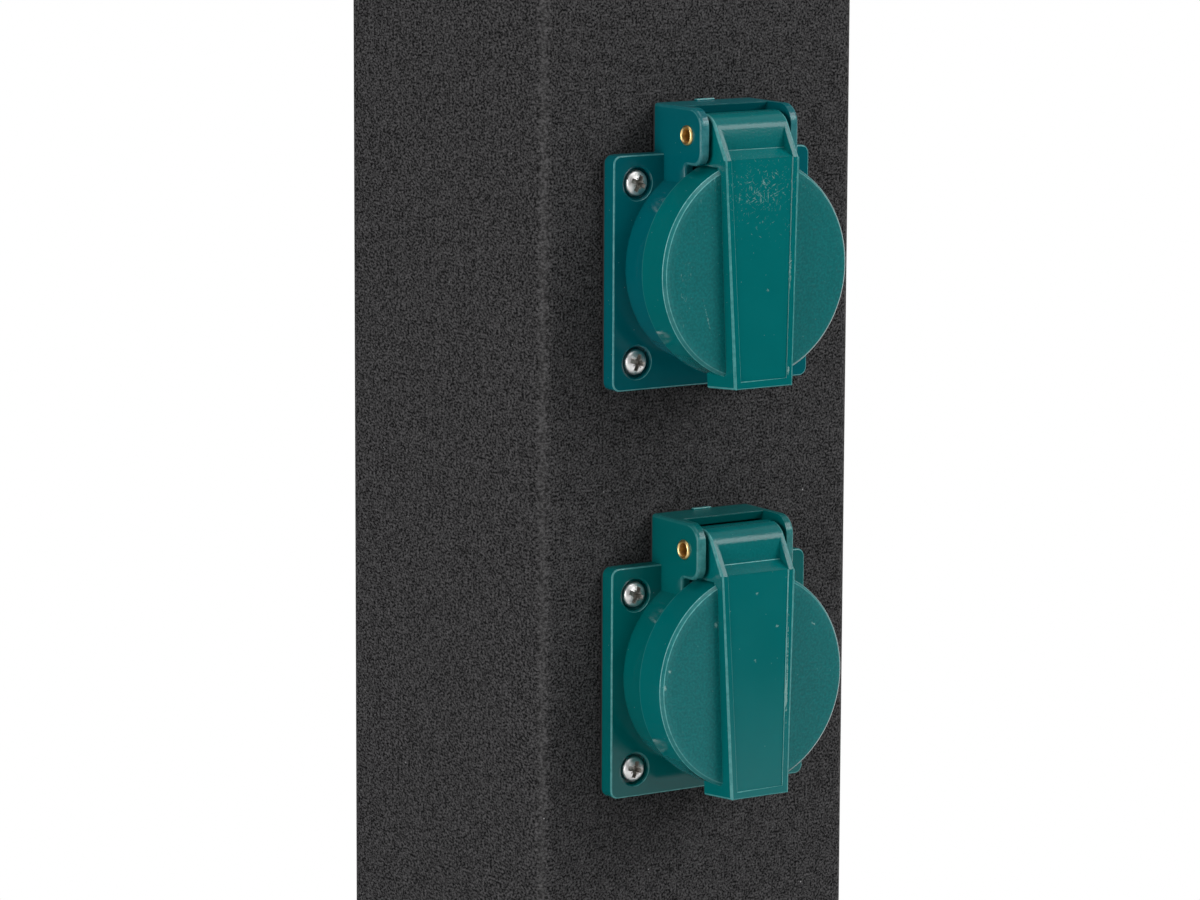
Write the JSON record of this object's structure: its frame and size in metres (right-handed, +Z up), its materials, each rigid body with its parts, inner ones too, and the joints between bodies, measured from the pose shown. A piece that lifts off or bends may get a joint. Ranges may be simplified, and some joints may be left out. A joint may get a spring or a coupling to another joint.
{
  "type": "garden socket post",
  "caption": "Square powder-coated outdoor post on a bolt-down base plate, carrying splash-proof panel sockets with sprung hinged lids, wired to a terminal block inside.",
  "frame": {"origin": "on the ground, at the centre of the base plate's underside", "axes": "+Z up along the post, the sockets face -Y, +X to the right as seen from the front"},
  "size_m": [0.14, 0.14, 0.4],
  "materials": {
    "coat_black": "fine textured powder coat",
    "socket_green": "semi-gloss moulded plastic",
    "rubber_black": "matt",
    "brass": "bright drawn",
    "steel": "plain",
    "insulator_grey": "matt",
    "block_white": "matt",
    "wire_brown": "satin insulation",
    "wire_blue": "satin insulation",
    "wire_green": "satin insulation"
  },
  "bodies": {
    "post": {"post_tube": "coat_black", "base_plate": "coat_black", "top_cap": "coat_black", "cap_screws": "steel", "foot_screws": "steel", "terminal_bracket": "steel", "bracket_screws": "steel", "terminal_block": "block_white", "block_screws": "steel", "clamp_screws": "steel", "cable_gland": "insulator_grey", "gland_nut": "insulator_grey", "gland_seal": "rubber_black", "earth_stud": "steel", "earth_lug": "steel", "earth_nut": "steel", "line_wires": "wire_brown", "neutral_wires": "wire_blue", "earth_wires": "wire_green", "upper_housing": "socket_green", "upper_gasket": "rubber_black", "upper_flange_screws": "steel", "upper_contact_carrier": "insulator_grey", "upper_pin_contacts": "brass", "upper_earth_clip": "steel", "upper_terminal_screws": "steel", "upper_back_cover": "insulator_grey", "upper_hinge_pin": "brass", "upper_lid_spring": "steel", "lower_housing": "socket_green", "lower_gasket": "rubber_black", "lower_flange_screws": "steel", "lower_contact_carrier": "insulator_grey", "lower_pin_contacts": "brass", "lower_earth_clip": "steel", "lower_terminal_screws": "steel", "lower_back_cover": "insulator_grey", "lower_hinge_pin": "brass", "lower_lid_spring": "steel"},
    "upper_lid": {"upper_lid": "socket_green", "upper_lid_seal": "rubber_black"},
    "lower_lid": {"lower_lid": "socket_green", "lower_lid_seal": "rubber_black"}
  },
  "joints": [
    {"name": "upper_lid_hinge", "type": "hinge", "parent": "post", "child": "upper_lid", "pos_m": [0, -0.0531, 0.3355], "axis": [-1, 0, 0], "range_deg": [0, 100], "stiffness_Nm_per_rad": 0.03, "springref_deg": -28.65, "deforming": ["upper_lid_spring"]},
    {"name": "lower_lid_hinge", "type": "hinge", "parent": "post", "child": "lower_lid", "pos_m": [0, -0.0531, 0.2475], "axis": [-1, 0, 0], "range_deg": [0, 100], "stiffness_Nm_per_rad": 0.03, "springref_deg": -28.65, "deforming": ["lower_lid_spring"]}
  ]
}
